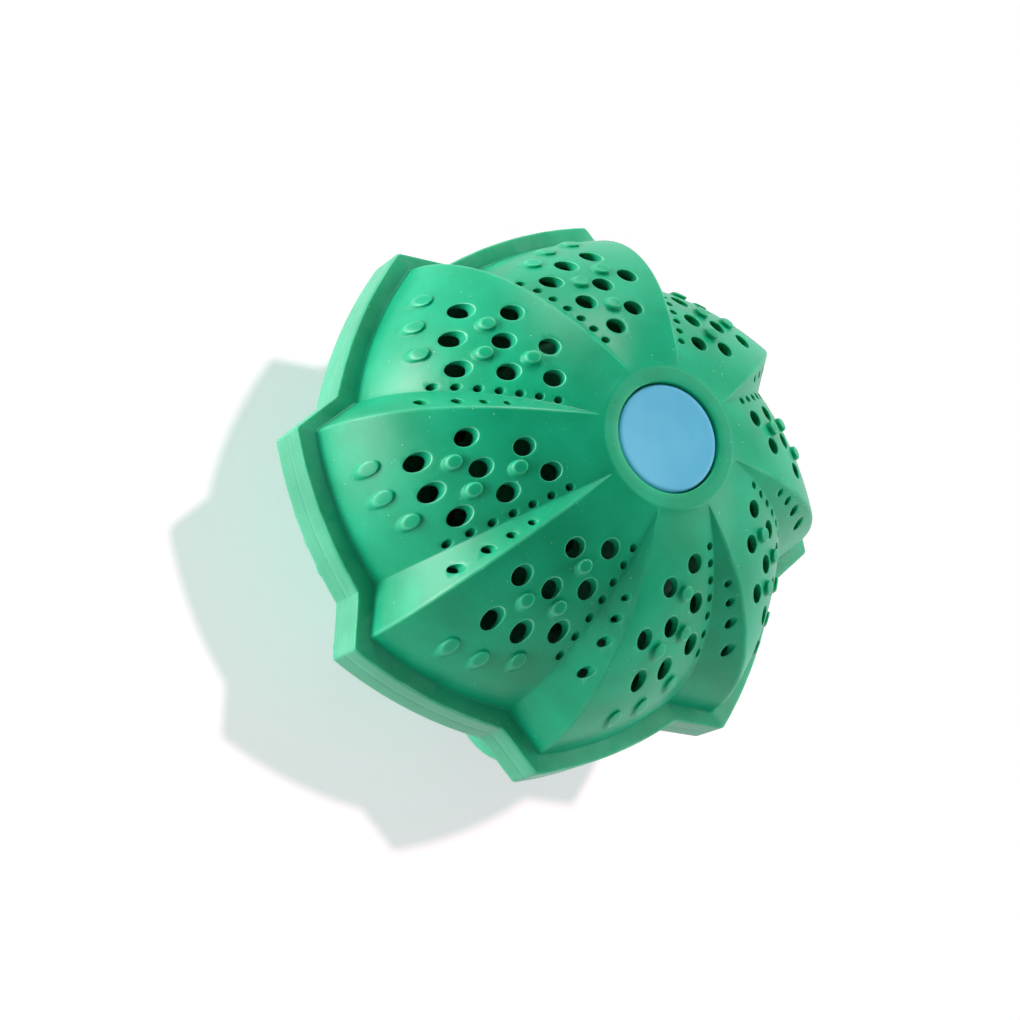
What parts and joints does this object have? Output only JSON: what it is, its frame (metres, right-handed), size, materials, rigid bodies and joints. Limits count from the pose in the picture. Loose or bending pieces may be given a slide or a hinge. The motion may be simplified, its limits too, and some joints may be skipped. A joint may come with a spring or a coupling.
{
  "type": "laundry ball",
  "caption": "Petal-shaped rubber laundry ball with a toothed rim, wash holes and blue pole caps, over a plastic core of ceramic beads.",
  "frame": {"origin": "centre of the ball, on the pole axis in the parting plane between the two shells", "axes": "+Z along the pole axis through the upper cap, +X through a tooth tip of the rim"},
  "size_m": [0.105, 0.105, 0.0874],
  "materials": {
    "shell_green": "satin moulded thermoplastic rubber",
    "cap_blue": "satin moulded plastic",
    "core_dark": "moulded polypropylene",
    "divider_dark": "moulded polypropylene",
    "magnet_steel": "nickel-plated",
    "bead_white": "unglazed fired ceramic",
    "bead_tan": "unglazed fired ceramic",
    "bead_grey": "unglazed fired ceramic",
    "bead_rust": "unglazed fired ceramic"
  },
  "bodies": {
    "ball": {"upper_shell": "shell_green", "lower_shell": "shell_green", "upper_cap": "cap_blue", "lower_cap": "cap_blue", "upper_core_half": "core_dark", "lower_core_half": "core_dark", "core_divider": "divider_dark", "upper_magnet": "magnet_steel", "lower_magnet": "magnet_steel"},
    "white_charge": {"white_bead_01": "bead_white", "white_bead_02": "bead_white", "white_bead_03": "bead_white", "white_bead_04": "bead_white", "white_bead_05": "bead_white", "white_bead_06": "bead_white", "white_bead_07": "bead_white", "white_bead_08": "bead_white", "white_bead_09": "bead_white", "white_bead_10": "bead_white", "white_bead_11": "bead_white", "white_bead_12": "bead_white"},
    "tan_charge": {"tan_bead_01": "bead_tan", "tan_bead_02": "bead_tan", "tan_bead_03": "bead_tan", "tan_bead_04": "bead_tan", "tan_bead_05": "bead_tan", "tan_bead_06": "bead_tan", "tan_bead_07": "bead_tan", "tan_bead_08": "bead_tan", "tan_bead_09": "bead_tan", "tan_bead_10": "bead_tan", "tan_bead_11": "bead_tan", "tan_bead_12": "bead_tan"},
    "grey_charge": {"grey_bead_01": "bead_grey", "grey_bead_02": "bead_grey", "grey_bead_03": "bead_grey", "grey_bead_04": "bead_grey", "grey_bead_05": "bead_grey", "grey_bead_06": "bead_grey", "grey_bead_07": "bead_grey", "grey_bead_08": "bead_grey", "grey_bead_09": "bead_grey", "grey_bead_10": "bead_grey", "grey_bead_11": "bead_grey", "grey_bead_12": "bead_grey"},
    "rust_charge": {"rust_bead_01": "bead_rust", "rust_bead_02": "bead_rust", "rust_bead_03": "bead_rust", "rust_bead_04": "bead_rust", "rust_bead_05": "bead_rust", "rust_bead_06": "bead_rust", "rust_bead_07": "bead_rust", "rust_bead_08": "bead_rust", "rust_bead_09": "bead_rust", "rust_bead_10": "bead_rust", "rust_bead_11": "bead_rust", "rust_bead_12": "bead_rust"}
  },
  "joints": [
    {"name": "white_charge_slide", "type": "slide", "parent": "ball", "child": "white_charge", "axis": [0, 0, 1], "range_m": [0, 0.0092]},
    {"name": "tan_charge_slide", "type": "slide", "parent": "ball", "child": "tan_charge", "axis": [0, 0, 1], "range_m": [0, 0.0092]},
    {"name": "grey_charge_slide", "type": "slide", "parent": "ball", "child": "grey_charge", "axis": [0, 0, 1], "range_m": [0, 0.0092]},
    {"name": "rust_charge_slide", "type": "slide", "parent": "ball", "child": "rust_charge", "axis": [0, 0, 1], "range_m": [0, 0.0092]}
  ]
}
